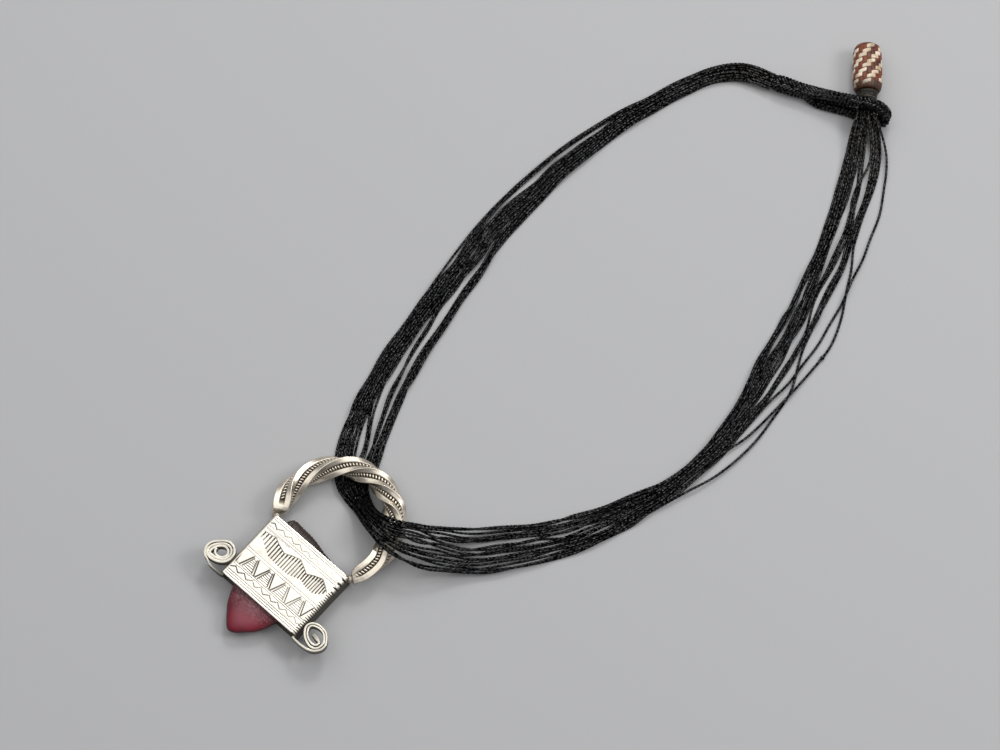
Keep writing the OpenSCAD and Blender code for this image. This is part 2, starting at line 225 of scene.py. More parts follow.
# Its twist, tighter at the top: [angle round the bail, turn of the bar's section], in degrees
bail_twist = spline((
    (-35, -246), (-25, -243), (-15, -239.5), (-5, -230), (5, -205), (20, -172), (35, -136),
    (50, -95), (65, -35), (80, 13), (100, 74), (120, 131), (140, 175), (160, 213), (180, 258),
    (190, 285), (200, 309), (210, 324), (215, 329),
), 8)


def bail_turn(angle):
    """How far the bar's section is turned at an angle round the bail, in degrees."""
    return np.interp(angle, *bail_twist.T)


# A height that no cord reaches, and the slope below which a face of the bar counts as upright
far_off, upright = 99, 0.02
# Where the cords have crossed over the bail's side and next go under its top, in mm along the route
bail_crossed = 308
settling_rounds = 480
# How strongly a cord is drawn to its place, sideways and upwards, how stiff it is, how hard two
# cords push each other apart, and how far they give way to that
drawn, stiffness, crowding, give = np.array((0.14, 0.025)), 0.45, 0.45, 0.7


def bar_heights(x, y, clear):
    """Heights from the bar's middle at which a cord of that radius lies on it, and under it; NaN
    beside it."""
    out = np.hypot(x - bail_at[0], y - bail_at[1]) - (bail_r - bail_bar / 2)
    angle = np.degrees(np.arctan2(y - bail_at[1], x - bail_at[0]))
    turn = np.radians(bail_turn(angle) + 45)
    reach = bail_bar / 2 / math.sqrt(2) + clear
    tops, lows = [], []
    for k in range(4):
        nx, nz = np.cos(turn + k * math.pi / 2), np.sin(turn + k * math.pi / 2)
        height = (reach - nx * out) / np.where(abs(nz) < upright, upright, nz)
        tops.append(np.where(nz > upright, height, far_off))
        lows.append(np.where(nz < -upright, height, -far_off))
    top, low = np.min(tops, axis=0), np.max(lows, axis=0)
    beside = (top <= low) | (abs(out) > bail_bar / 2 + clear) | (angle < -30)
    return np.where(beside, np.nan, top), np.where(beside, np.nan, low)


def smoothed(columns, reach):
    """Columns of values, each value averaged with its neighbours under a bell of that reach."""
    bell = np.exp(-0.5 * (np.arange(-3 * reach, 3 * reach + 1) / reach) ** 2)
    wide = np.pad(columns, ((3 * reach, 3 * reach), (0, 0)), mode="edge")
    return np.stack([np.convolve(c, bell / bell.sum(), "valid") for c in wide.T], axis=1)


def settled_cords():
    """Each cord's line, in mm: its place in the layout, pushed clear of the others and the bail."""
    route, run = evenly(spline(bundle_route, 24), 1.5, axes=2)
    ahead = unit(np.gradient(route[:, :2], axis=0))
    left = np.column_stack([-ahead[:, 1], ahead[:, 0]])
    slope = np.gradient(route[:, 2], run)
    squeeze = 1 / np.sqrt(1 + slope**2)
    stations, lies = [], []
    for station, row in cord_lie:
        words, place = row.split(), {}
        for cords, first, last in zip(words[::3], words[1::3], words[2::3]):
            place.update(zip(cords, np.linspace(float(first), float(last), len(cords))))
        stations.append(station)
        lies.append([place[c] for c in cord_names])
    lies = np.array(lies)
    k = np.arange(len(cord_names))
    aim = smoothed(np.column_stack([np.interp(run, stations, lies[:, c]) for c in k]), 2)
    # Waxed cord keeps slight bends, and each one lies now a little higher, now lower
    aim = aim + 0.17 * np.sin(run[:, None] / (3.1 + 0.37 * (k * 5 % 7)) + 2.1 * k)
    rise = np.sin(run[:, None] / (9 + 1.7 * (k * 7 % 11)) + 1.3 * k)
    under, half = route[:, 2] - route[:, 4], route[:, 4]
    heap = np.clip((half - 1) / 0.5, 0, 1)
    lie_at = under + cord_d / 2 + heap * (half - cord_d / 2)
    aim = np.stack([aim, lie_at[:, None] + 0.35 * rise], axis=-1)
    at = aim.copy()
    lowest = np.maximum(cord_d / 2, under + cord_d / 2 - 0.2)[:, None]
    over = (run < bail_crossed)[:, None]
    for turn in range(settling_rounds):
        at += drawn * (aim - at)
        for again in range(2):
            moved = at - aim
            at[1:-1] += stiffness * ((moved[:-2] + moved[2:]) / 2 - moved[1:-1])
        apart = at[:, :, None] - at[:, None]
        apart[..., 1] *= squeeze[:, None, None]
        far = np.linalg.norm(apart, axis=-1) + 1e-6
        push = np.where(far < cord_d, (cord_d - far) / far, 0) * crowding
        at += (push[..., None] * apart).sum(axis=2) * give
        at[..., 1] = np.maximum(at[..., 1], lowest)
        x = route[:, 0, None] + left[:, 0, None] * at[..., 0]
        y = route[:, 1, None] + left[:, 1, None] * at[..., 0]
        top, low = bar_heights(x, y, cord_d / 2)
        z = at[..., 1] - bail_at[2]
        z = np.where(over & (z < np.nan_to_num(top, nan=-far_off)), top, z)
        z = np.where(~over & (z > np.nan_to_num(low, nan=far_off)), low, z)
        at[..., 1] = z + bail_at[2]
    return [np.column_stack([x[:, c], y[:, c], at[:, c, 1]]) for c in k], left


def linear(colour):
    """An sRGB hex colour as the linear RGBA that a socket takes."""
    parts = [int(colour[i : i + 2], 16) / 255 for i in (1, 3, 5)]
    return (*[c / 12.92 if c < 0.04045 else ((c + 0.055) / 1.055) ** 2.4 for c in parts], 1)


def material(name, colour, rough, metallic=0.0):
    """A new material, its node tree and its shader."""
    made = bpy.data.materials.new(name)
    made.use_nodes = True
    shader = made.node_tree.nodes["Principled BSDF"]
    shader.inputs["Base Color"].default_value = linear(colour)
    shader.inputs["Roughness"].default_value = rough
    shader.inputs["Metallic"].default_value = metallic
    return made, made.node_tree, shader


def add(tree, kind, links={}, out=0, **settings):
    """Adds a node and gives back its output out. links gives its inputs, each a value or the socket
    that feeds it."""
    made = tree.nodes.new("ShaderNode" + kind)
    for key, value in settings.items():
        setattr(made, key, value)
    for key, value in links.items():
        if isinstance(value, bpy.types.NodeSocket):
            tree.links.new(value, made.inputs[key])
        else:
            made.inputs[key].default_value = value
    return made.outputs[out]


def wire(tree, shader, parts):
    """Feeds each named input of the shader."""
    for socket, value in parts.items():
        tree.links.new(value, shader.inputs[socket])


# A range is spread smoothly: its inputs are the value, from low, to high, and what those two give
smooth = {"interpolation_type": "SMOOTHSTEP"}


def waxed_cotton(name, handled):
    """Waxed cotton cord: spun black and drawn through wax, so that its ridges shine a little and its
    hollows hold dull wax and dust. Where it is handled, near the toggle, brown cotton shows."""
    made, tree, shader = material(name, "#1d1c1d", 0.42)
    place = add(tree, "TexCoord", out="Object")
    # Specks of dust are 0.7 mm across, patches of wax 1 mm and the bloom's clouds 11 mm. Real dust is
    # finer and wouldn't show.
    dust = add(tree, "TexNoise", {"Vector": place, "Scale": 1400.0, "Detail": 3.0})
    waxy = add(tree, "TexNoise", {"Vector": place, "Scale": 1000.0, "Detail": 2.0})
    bloom = add(tree, "TexNoise", {"Vector": place, "Scale": 90.0, "Detail": 4.0})
    clouds = add(tree, "MapRange", {0: bloom, 1: 0.4, 2: 0.65}, **smooth)
    colour = add(tree, "MixRGB", {0: clouds, 1: linear("#010102"), 2: linear("#08080a")})
    along = add(tree, "SeparateXYZ", {0: place}, out=1)
    near = add(tree, "MapRange", {0: along, 1: 210 * MM, 2: 270 * MM, 4: handled}, **smooth)
    least = add(tree, "Math", {0: 0.71, 1: near}, operation="SUBTRACT")
    dusty = add(tree, "MapRange", {0: dust, 1: least, 2: 0.8}, **smooth)
    colour = add(tree, "MixRGB", {0: dusty, 1: colour, 2: linear("#8b8073")})
    rough = add(tree, "MapRange", {0: waxy, 1: 0.4, 2: 0.66, 3: 0.42, 4: 0.24}, **smooth)
    # The open fibres between the waxed ridges trap the light
    shine = add(tree, "MapRange", {0: waxy, 1: 0.38, 2: 0.64, 4: 0.68}, **smooth)
    shader.inputs["IOR"].default_value = 1.44
    fibre = add(tree, "Bump", {"Height": dust, "Distance": 0.03 * MM, "Strength": 0.5})
    wire(tree, shader, {"Base Color": colour, "Roughness": rough, "Normal": fibre})
    wire(tree, shader, {"Specular IOR Level": shine})
    return made


waxed_black = waxed_cotton("waxed cotton, black", 0.16)
cord_lines, cord_left = settled_cords()
# Each cord is two yarns twisted together, so its section is an oval: the lay of the twist, the
# section's middle radius, and the share by which the yarns stand out
twist_pitch, yarn_r, yarn_out = 3.2, 0.485, 0.14
# One cord was joined with a small knot: how far along it, and how far that stands out
knotted, knot_at, knot_out = "B", 110.5, 0.35
for name, line in zip(cord_names, cord_lines):
    fine, run = evenly(spline(np.column_stack([line, cord_left]), 6), 0.42)
    ring = circle(10)
    turn = (run / twist_pitch * 2 * math.pi)[:, None] + ring
    lobes = yarn_r * (1 + yarn_out * np.cos(2 * ring))
    if name == knotted:
        lobes = lobes + knot_out * np.exp(-((run - knot_at) ** 2) / 0.8)[:, None]
    section = np.stack([lobes * np.cos(turn), lobes * np.sin(turn)], axis=-1)
    toward = np.column_stack([fine[:, 3:5], np.zeros(len(fine))])
    waxed = sweep(f"waxed_cord_{name}", fine[:, :3], toward, section)
    waxed.data.materials.append(waxed_black)
    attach(waxed, "root")
    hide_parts("cord_bundle")


# The cords' ends are plaited together in a wheat-ear braid, flat at the stem. The stem divides into
# the eye, which lies over the bound neck, round it and back beneath the stem.
# Route: [x, y, height of the middle, half width, half height], in mm
loop_route = (
    (4.3, 264.4, 2.8, 3.5, 2.5), (9, 266.1, 3, 3.3, 2.6), (14.7, 268.2, 3.3, 3, 2.6),
    (19.4, 270.2, 4.4, 2.6, 2.3), (24.4, 272.2, 5.9, 2.3, 2.1), (29.6, 274.2, 7.7, 2.1, 2.1),
    (34.8, 275.9, 9.6, 2.3, 2.1), (39.5, 277.9, 10.9, 2.3, 2.1), (43.2, 279.9, 10.3, 2.2, 2.1),
    (46, 280.8, 7.6, 2.5, 2.2), (47.5, 280.6, 4.6, 2.6, 2.3), (46.3, 278.8, 2.6, 2.5, 2.2),
    (43.2, 277.3, 2.2, 2.2, 2.1), (38.1, 275.9, 2.2, 2.3, 2.1), (33.2, 274.2, 2.2, 2.3, 2.1),
    (28.6, 272, 2.15, 2.2, 2.06), (24.8, 269.9, 2, 1.9, 1.9),
)
loop_sideways = (-0.36, 0.93, 0)
plaited_black = waxed_cotton("waxed cotton, black, plaited", 0.0)
# The braid's two parts: [name, first and last row of the route, cords, cord diameter, lay length]
plaits = (("stem", 0, 5, 9, 1.15, 13), ("eye", 2, 19, 5, 1.35, 7.2))
# The lower leg runs on into the stem, where it joins the upper one
loop_end = ((21.5, 268.7, 2.3, 1.8, 1.8), (17.5, 268.2, 2.9, 1.7, 1.8), (13.5, 267.4, 3, 1.6, 1.8))
strands = []
for part, first, last, count, thick, lay in plaits:
    line, run = evenly(spline((loop_route + loop_end)[first : last + 1], 24), 0.4)
    # The braid narrows over its last 3 mm
    ends = np.clip(np.minimum(run, run[-1] - run) / 3, 0, 1) ** 0.5
    ahead = unit(np.gradient(line[:, :3], axis=0))
    side = unit(np.array(loop_sideways) - (ahead @ loop_sideways)[:, None] * ahead)
    wide, high = line[:, 3] - thick / 2, line[:, 4] - thick / 2
    for k in range(count):
        turn = 2 * math.pi * (k / count + run / lay)
        across = wide * np.arcsin(0.97 * np.cos(turn)) / 1.33 * (0.75 + 0.25 * ends)
        up = high * np.tanh(2.6 * np.sin(2 * turn) + 0.9) * (0.6 + 0.4 * ends)
        lain = line[:, :3] + across[:, None] * side + up[:, None] * np.cross(ahead, side)
        strand = sweep(f"braid_{part}_{k}", lain, loop_sideways, round_section(10) * thick / 2)
        strand.data.materials.append(plaited_black)
        strands.append(strand)


def joined(name, pieces):
    """The pieces as one, under that name."""
    bpy.ops.object.select_all(action="DESELECT")
    for made in pieces:
        made.select_set(True)
    bpy.context.view_layer.objects.active = pieces[0]
    bpy.ops.object.join()
    bpy.context.object.name = name
    return bpy.context.object


braid = joined("braided_cords", strands)
line, run = evenly(spline(loop_route, 24), 1)
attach(braid, "root")
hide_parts("braided_loop")


# The mount is silver of a good alloy, forged, bent and soldered by hand: a flat sleeve of sheet
# with an engraved front, a strip rolled into a scroll at each lower corner, and the bail.
def silver(name, clean, dark, rough):
    """Worn silver: bright where it is rubbed, and black-brown where its darkening attribute says, which
    holds tarnish and painted shade.
    """
    made, tree, shader = material(name, clean, rough, 1.0)
    place = add(tree, "TexCoord", out="Object")
    # Patches of film are 6 mm across, and the marks of wear 0.9 mm. Real scratches are finer and
    # wouldn't show.
    patches = add(tree, "TexNoise", {"Vector": place, "Scale": 160.0, "Detail": 6.0, "Roughness": 0.65})
    marks = add(tree, "TexNoise", {"Vector": place, "Scale": 1100.0, "Detail": 3.0})
    tarnish_and_shade = add(tree, "Attribute", out="Fac", attribute_name="tarnish_and_shade")
    film = add(tree, "MapRange", {0: patches, 1: 0.5, 2: 0.72, 4: 0.28}, **smooth)
    share = add(tree, "Math", {0: tarnish_and_shade, 1: film}, operation="MAXIMUM")
    colour = add(tree, "MixRGB", {0: share, 1: linear(clean), 2: linear(dark)})
    dull = add(tree, "MapRange", {0: share, 1: 0.0, 2: 0.9, 3: rough, 4: 0.7}, **smooth)
    bare = add(tree, "MapRange", {0: share, 1: 0.3, 2: 1.0, 3: 1.0, 4: 0.55}, **smooth)
    rubbed = add(tree, "Bump", {"Height": marks, "Distance": 0.04 * MM, "Strength": 0.5})
    wire(tree, shader, {"Base Color": colour, "Roughness": dull, "Metallic": bare, "Normal": rubbed})
    return made


def hollows(piece, share):
    """Marks how dark each point of a piece is, from 0 to 1: tarnish where it is sunk, painted shade on its
    shaded walls.
    """
    mark = piece.data.attributes.new("tarnish_and_shade", "FLOAT", "POINT")
    mark.data.foreach_set("value", np.clip(share, 0, 1).reshape(-1))


def part_of(node, slot, piece, *materials):
    """The piece takes its materials and stands for the CAD node."""
    for made in materials:
        piece.data.materials.append(made)
    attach(piece, "root")
    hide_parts(node)


sheet_silver = silver("sheet silver, burnished and engraved", "#f5efe2", "#30271f", 0.3)
# Its width, height and thickness, the sheet's thickness and the radius of its bent edges, in mm
sleeve_w, sleeve_h, sleeve_t, sheet_t, sleeve_r = 37.4, 29.4, 9, 0.8, 1.4
sleeve_at = (-0.7, -13, 4.5)

# The engraving, in mm from the front's upper left corner
# Straight lines: [from the top, start, end]
engraved_lines = (
    (0.95, 0.6, 36.6), (1.8, 0.6, 36.2), (4.9, 0.6, 36.4), (5.8, 0.6, 36.4), (6.3, 0.8, 13),
    (15.85, 1.0, 36.2), (16.9, 1.2, 36.2), (23.2, 0.6, 35.8), (23.9, 0.6, 35.8),
    (26.8, 0.6, 36.4), (27.6, 0.6, 36.4), (28.5, 0.6, 36.4),
)
# Zigzags: [top, bottom, pitch, first peak]
zigzags = ((2.9, 4.2, 4.2, 2.6), (24.5, 25.9, 4.2, 3.1))
# The hatched serpentine band: [along, its upper edge, its lower edge]
serpentine = (
    (1.7, 7.6, 10.3), (4.2, 7.2, 10.6), (6.7, 6.7, 12.2), (9.4, 8.0, 13.5), (13.1, 9.2, 14.0),
    (16, 7.9, 14.2), (19.3, 6.9, 14.1), (22, 8.2, 13.1), (24.6, 9.6, 12.0), (27.4, 8.1, 13.3),
    (30.5, 7.0, 13.7), (32.6, 8.2, 12.1), (34.8, 9.7, 10.4),
)
# The hatching's spacing, at its left and at its right end
hatch_step = (1.42, 1.02)
# Trapezia with rungs: the middle of each
trapezia = (6.9, 14.6, 22.3, 30.2)


def engraved_strokes():
    """Every stroke as [x0, y0, x1, y1, depth], from the front's upper left corner."""
    strokes = [(x0, y, x1, y, 0.66 if y > 20 else 0.56) for y, x0, x1 in engraved_lines]
    for top, bottom, pitch, peak in zigzags:
        x, high = peak - pitch / 2, False
        while x < 35:
            # The upper one is worn towards the right
            depth = 0.9 - (0.02 * x if top < 10 else 0.007 * x)
            strokes.append((x, top if high else bottom, x + pitch / 2, bottom if high else top, depth))
            x, high = x + pitch / 2, not high
    along, upper, lower = np.array(serpentine).T
    x = 2.3
    while x < 34.6:
        slip = 0.12 * math.sin(5 * x)
        start, end = np.interp(x, along, upper) + 0.15, np.interp(x, along, lower) + 2 * slip
        strokes.append((x, start, x + slip, end, 0.9 + slip))
        strokes.append((x, start, x, start + 1.3, 1.2))
        x += np.interp(x, [2.3, 34.6], hatch_step)
    for a, b in zip(serpentine, serpentine[1:]):
        strokes.append((a[0], a[1], b[0], b[1], 0.75))
    for middle in trapezia:
        worn = 1.05 - 0.011 * middle
        for side in (-1, 1):
            strokes.append((middle + side * 1.2, 17.4, middle + side * 3.5, 22.8, 1.2 * worn))
            strokes.append((middle + side * 0.65, 17.7, middle + side * 2.35, 22.6, worn))
        for rung in range(6):
            y = 18.2 + rung * 0.83
            half = 0.4 + (y - 17.8) / 4.8 * 1.7
            end = y + 0.25 * math.sin(3 * middle + rung)
            strokes.append((middle - half, y, middle + half, end, 0.8 * worn))
    strokes += [(0.8, 17.1, 1.5, 22.7, 1.2), (35.4, 17.4, 33.9, 22.4, 0.9)]
    return strokes


def cut_depth(x, y):
    """How deep the graver went at points of the front, as a share of its full depth."""
    deep = np.zeros_like(x)
    for x0, y0, x1, y1, depth in engraved_strokes():
        dx, dy = x1 - x0, y1 - y0
        near = (x > min(x0, x1) - 0.5) & (x < max(x0, x1) + 0.5)
        near &= (y > min(y0, y1) - 0.5) & (y < max(y0, y1) + 0.5)
        px, py = x[near] - x0, y[near] - y0
        t = np.clip((px * dx + py * dy) / (dx * dx + dy * dy), 0, 1)
        off = np.hypot(px - t * dx, py - t * dy)
        # Each line was rocked along, so it is a row of short cuts, deeper and shallower
        rocked = 0.9 + 0.1 * np.cos(t * math.hypot(dx, dy) * 2 * math.pi / 0.9 + 3 * y0)
        worn = 0.88 + 0.12 * np.sin(0.35 * x0 + 0.5 * y0 + 0.3 * px)
        cut = np.clip(1.5 - off / (0.11 + 0.14 * depth), 0, 1) * depth * rocked * worn
        deep[near] = np.maximum(deep[near], cut)
    return deep


# Points across and down the front, close enough for the engraving
front_across, front_down = 262, 226
# How deep the deepest cut, the notches and the seam are, and how far the notches reach in, in mm
cut_in, notch_in, seam_in, notch_l = 0.16, 0.3, 0.12, 2


def sheet_round():
    """The sheet's outer side round the sleeve: each point's x, z, its outward x and z."""
    w, t = sleeve_w / 2 - sleeve_r, sleeve_t / 2 - sleeve_r
    bend = np.radians(np.linspace(0, 90, 11))[1:-1]
    points = []
    # Each side: [x and z where it starts and where it ends, its outward x and z, points]
    for x0, z0, x1, z1, nx, nz, count in (
        (-w, -t, -w, t, -1, 0, 8), (-w, t, w, t, 0, 1, front_across),
        (w, t, w, -t, 1, 0, 8), (w, -t, -w, -t, 0, -1, 60),
    ):
        for x, z in zip(np.linspace(x0, x1, count), np.linspace(z0, z1, count)):
            points.append((x + sleeve_r * nx, z + sleeve_r * nz, nx, nz))
        # The bend that follows turns to the next side's outward way
        for a in bend:
            bx, bz = nx * math.cos(a) + nz * math.sin(a), nz * math.cos(a) - nx * math.sin(a)
            points.append((x1 + sleeve_r * bx, z1 + sleeve_r * bz, bx, bz))
    return np.array(points)


around = sheet_round()
ys = np.linspace(0.3, sleeve_h - 0.3, front_down)
ys = np.concatenate([[0, 0.12], ys, [sleeve_h - 0.12, sleeve_h]]) - sleeve_h / 2
x, y = np.meshgrid(around[:, 0], ys)
z = np.broadcast_to(around[:, 1], x.shape)
nx, nz = np.broadcast_to(around[:, 2], x.shape), np.broadcast_to(around[:, 3], x.shape)
cuts = np.where(nz > 0.99, cut_depth(x + sleeve_w / 2, sleeve_h / 2 - y), 0)
# Notches filed along the right edge, close together lower down
count = np.interp(y, [-sleeve_h / 2, 6, sleeve_h / 2], [26, 4, 0])
notch = np.clip(np.cos(count * 2 * math.pi) * 1.8 - 0.5, 0, 1)
notch = notch * np.clip((x - (sleeve_w / 2 - notch_l) + 0.3 * np.sin(5 * y)) / 0.6, 0, 1)
notch = np.where(nz > 0.05, notch, 0)
deep = np.maximum(cuts, notch)
# The sheet isn't quite flat, and its back has the soldered seam where its edges meet
dents = 0.03 * np.sin(0.31 * x + 1) * np.cos(0.24 * y + 0.4) + 0.008 * np.sin(0.7 * x - 0.5 * y)
seam = np.where(nz < -0.99, np.clip(1 - abs(x - 0.15 * np.sin(0.4 * y)) / 0.5, 0, 1), 0)
rim = np.clip(1 - (sleeve_h / 2 - abs(y)) / 0.2, 0, 1) * 0.12
sunk = cut_in * cuts + notch_in * notch + seam_in * seam + rim - dents * np.where(nz > 0.9, 1, 0)
outer = np.stack([x - nx * sunk, y, z - nz * sunk], axis=-1)
inner = np.stack([x - nx * sheet_t, y, z - nz * sheet_t], axis=-1)[[-1, 0]]
shell = np.concatenate([outer, inner]) + np.array(sleeve_at)
sleeve = skin("engraved_sleeve", shell, closed=True)
# The narrow sides are painted dark, the right one more: tarnish, and painted shade. Dirt stays along the
# front's two bent edges
side_tarnish_and_shade = np.clip((abs(nx) - 0.4) * 1.8, 0, 1) * np.where(nx > 0, 0.92, 0.7)
left = np.clip(1 - (sleeve_w / 2 + x) / 1.7, 0, 1)
right = np.clip(1 - (sleeve_w / 2 - x) / sleeve_r, 0, 1)
edges = np.where(nz > 0.05, np.maximum(0.42 * left, 0.34 * right), 0)
grime_and_shade = np.maximum(np.maximum(1.2 * deep, side_tarnish_and_shade), np.where(nz < -0.5, 0.25, edges))
# The whole inside of the sheet is painted dark as shade
hollows(sleeve, np.concatenate([grime_and_shade, np.full((2, len(around)), 0.9)]))
part_of("silver_mount", "silver", sleeve, sheet_silver)


# Each scroll is one strip of the same silver, rolled up from its far end and soldered to a lower
# corner of the sleeve by its straight tail. The strip stands on its edge, clear of the surface.
strip_silver = silver("strip silver, rolled", "#dcd6c8", "#1a1613", 0.34)
# The strip's width and thickness, the height of its lower edge, and the radius of its edges, in mm
strip_w, strip_t, strip_z, rim_r = 3.5, 0.98, 6.5, 0.2
# Line of each strip, [x, y] in mm, from its soldered tail to its inner end
scroll_lines = {
    "left": (
        (-17.5, -28.3), (-18.4, -28.8), (-19.7, -28.9), (-21.4, -28.9), (-22.8, -28.9), (-24.3, -28.7),
        (-25.9, -27.9), (-27.7, -27.2), (-28.8, -26.2),
        (-29.5, -24.7), (-29.5, -22.8), (-28.6, -21.1), (-27.3, -19.8), (-26.0, -18.6), (-24.4, -17.8),
        (-22.6, -17.8), (-21.0, -18.5), (-20.0, -19.8), (-19.7, -21.2), (-19.8, -22.9), (-20.7, -24.6),
        (-22.1, -25.7), (-23.8, -26.4), (-25.6, -26.7), (-27.2, -26.4), (-28.1, -25.7), (-28.5, -24.3),
        (-28.1, -22.6), (-27.2, -21.2), (-26.0, -19.9), (-24.7, -19.1), (-23.0, -18.9), (-21.6, -19.5),
        (-20.8, -20.7), (-20.7, -22.3), (-21.3, -23.9), (-22.8, -24.9), (-24.6, -25.5), (-26.2, -25.7),
        (-27.1, -25.4), (-27.4, -24.3), (-27.1, -22.9), (-26.5, -21.7), (-25.3, -20.5), (-24.0, -20.0),
        (-22.7, -20.3), (-21.8, -21.1), (-21.5, -22.3), (-22.0, -23.4), (-23.0, -24.2), (-24.3, -24.5),
        (-25.5, -24.1), (-26.2, -23.3), (-26.3, -22.4),
    ),
    "right": (
        (17.6, -28.7), (18.7, -28.9), (21.1, -29.0), (23.6, -28.8), (25.4, -28.4), (27.0, -27.6),
        (28.2, -26.4),
        (28.9, -25.1), (29.0, -23.4), (28.3, -21.9), (27.2, -20.6), (25.8, -19.5), (24.0, -19.1),
        (22.4, -19.1), (20.8, -19.5), (19.6, -20.3), (18.9, -21.7), (19.0, -23.0), (19.7, -24.2),
        (20.8, -25.4), (22.2, -26.3), (23.8, -26.9), (25.2, -27.1), (26.5, -26.7), (27.5, -25.8),
        (27.9, -24.6), (27.9, -23.1), (27.2, -21.9), (26.3, -20.9), (25.2, -20.2), (23.8, -19.9),
        (22.4, -20.0), (21.1, -20.4), (20.2, -21.0), (19.9, -22.1), (20.3, -23.2), (21.1, -24.3),
        (22.3, -25.2), (23.6, -25.7), (25.1, -25.9), (26.3, -25.4), (26.7, -24.5), (26.4, -23.8),
        (25.4, -23.5), (24.1, -23.2), (22.8, -22.9),
    ),
}
strip_section = []
for across, up, start in ((1, 1, 0), (-1, 1, 90), (-1, -1, 180), (1, -1, 270)):
    for turn in np.radians(start + np.arange(0, 91, 30)):
        p = across * (strip_w / 2 - rim_r) + rim_r * math.cos(turn)
        q = up * (strip_t / 2 - rim_r) + rim_r * math.sin(turn)
        strip_section.append((p, q))
strip_section = np.array(strip_section)
# So far along either strip, in mm, its outward wall is the outermost one
outer_turn = 34
# Each scroll: [name, side, how dark its tail is painted, how dark its inner end is painted]
for name, side, tail_dark, inner_dark in (("left", -1, 0.75, 0), ("right", 1, 0.3, 0.5)):
    flat, run = evenly(spline(scroll_lines[name], 6), 0.35, axes=2)
    line = np.column_stack([flat, np.full(len(flat), strip_z + strip_w / 2)])
    thick = 1 + 0.1 * np.sin(run / 4.7)
    # The left strip is thin along its tail. The right one is thin all along but for its inner end.
    if name == "left":
        thick = thick * np.interp(run, [0, 8, 12], [0.62, 0.62, 1])
    else:
        thick = thick * np.interp(run[-1] - run, [0, 2.4, 3.6], [1.5, 1.4, 0.82])
    shape = strip_section * np.stack([1 + 0.012 * np.sin(run / 3.1 + 1), thick], axis=-1)[:, None]
    scroll = sweep(f"scroll_{name}", line, (0, 0, 1), shape)
    # Only the upper edge is bright: the walls are painted dark as shade, black between the turns, the
    # outermost one a little less
    rise = (line[:, None, 2] + shape[..., 0] - strip_z) / strip_w
    painted_wall_shade = np.clip((0.97 - rise) / 0.06, 0, 1)
    outward = shape[..., 1] * side > 0.1
    painted_wall_shade = np.where(outward & (run < outer_turn)[:, None], 0.96 * painted_wall_shade, painted_wall_shade)
    tail = np.clip(1.2 - run / 9, 0, 1)[:, None] * tail_dark
    inner = np.clip(1.4 - (run[-1] - run) / 3, 0, 1)[:, None] * inner_dark
    hollows(scroll, np.maximum(painted_wall_shade, np.maximum(tail, inner)))
    part_of("silver_mount", "silver", scroll, strip_silver)


# The bail is a heavy square bar of cast silver, chiselled with two lines and a row of beads along
# each face, then twisted while hot and bent round. Its blunt ends are soldered on the sleeve.
bail_silver = silver("cast silver, chiselled and worn", "#e6dccb", "#2b2119", 0.36)
bail_start, bail_end = 214.6, -35
# The bar along the bail, its ends hammered blunt: [angle, share of the full width, how far its
# middle lies outward in mm, share of the full channel]
bail_rows = np.array((
    (-35, 0.5, 0.2, 0), (-34.4, 0.62, 0.4, 0), (-32, 0.76, 0.6, 0.1), (-30, 0.85, 0.8, 0.6),
    (-27, 0.94, 1, 1), (-25, 0.97, 1.1, 1), (-20, 1, 0.9, 1), (-10, 1, 0.5, 1), (0, 1, 0.2, 1),
    (20, 1, 0, 1), (159.6, 1, 0, 1), (179.6, 1, 0.35, 1), (189.6, 1, 0.7, 1), (202.6, 1, 1, 1),
    (205.6, 0.98, 1, 0.7), (209.6, 0.92, 0.8, 0), (212.6, 0.83, 0.5, 0), (214, 0.72, 0.3, 0),
    (214.6, 0.55, 0.1, 0),
))
# Across one face: [share of the face, depth in mm, tarnish]
face_profile = (
    (0.02, 0, 0), (0.05, 0, 0), (0.2, 0.02, 0), (0.31, 0.02, 0), (0.335, 0.08, 0.3), (0.36, 0.55, 1),
    (0.395, 0.58, 1), (0.42, 0.42, 1), (0.5, 0.42, 1), (0.58, 0.42, 1), (0.605, 0.58, 1),
    (0.64, 0.55, 1), (0.665, 0.08, 0.3), (0.69, 0.02, 0), (0.8, 0.02, 0), (0.95, 0, 0), (0.98, 0, 0),
)


def on_face(k, p, q):
    """A point of the bar's first face, turned to face k of its section."""
    c, s = math.cos(k * math.pi / 2), math.sin(k * math.pi / 2)
    return p * c - q * s, p * s + q * c


angles = np.linspace(bail_start, bail_end, 380)
half = bail_bar / 2 * np.interp(angles, *bail_rows[:, [0, 1]].T)
shown = np.interp(angles, *bail_rows[:, [0, 3]].T)
share, depth, dark = np.array(face_profile).T
outs, ups, darks = [], [], []
for k in range(4):
    sunk = depth[None] * shown[:, None] / math.sqrt(2)
    p, q = on_face(k, half[:, None] * (1 - share) - sunk, half[:, None] * share - sunk)
    outs.append(p)
    ups.append(q)
    darks.append(dark[None] * shown[:, None])
p, q, tarnish = (np.concatenate(rows, axis=1) for rows in (outs, ups, darks))


def on_bail(angle, p, q):
    """Points of the bar in mm, from where they are in its untwisted section."""
    turn = np.radians(bail_turn(angle))
    size, shift = (np.interp(angle, bail_rows[:, 0], bail_rows[:, column]) for column in (1, 2))
    out = p * np.cos(turn) - q * np.sin(turn) + bail_r - bail_bar / 2 * size + shift
    up = p * np.sin(turn) + q * np.cos(turn)
    a = np.radians(angle)
    return np.stack([out * np.cos(a), out * np.sin(a), up + 0 * a], axis=-1) + np.array(bail_at)


bail = skin("twisted_bail", on_bail(angles[:, None], p, q))
hollows(bail, tarnish)
part_of("silver_mount", "silver", bail, bail_silver)

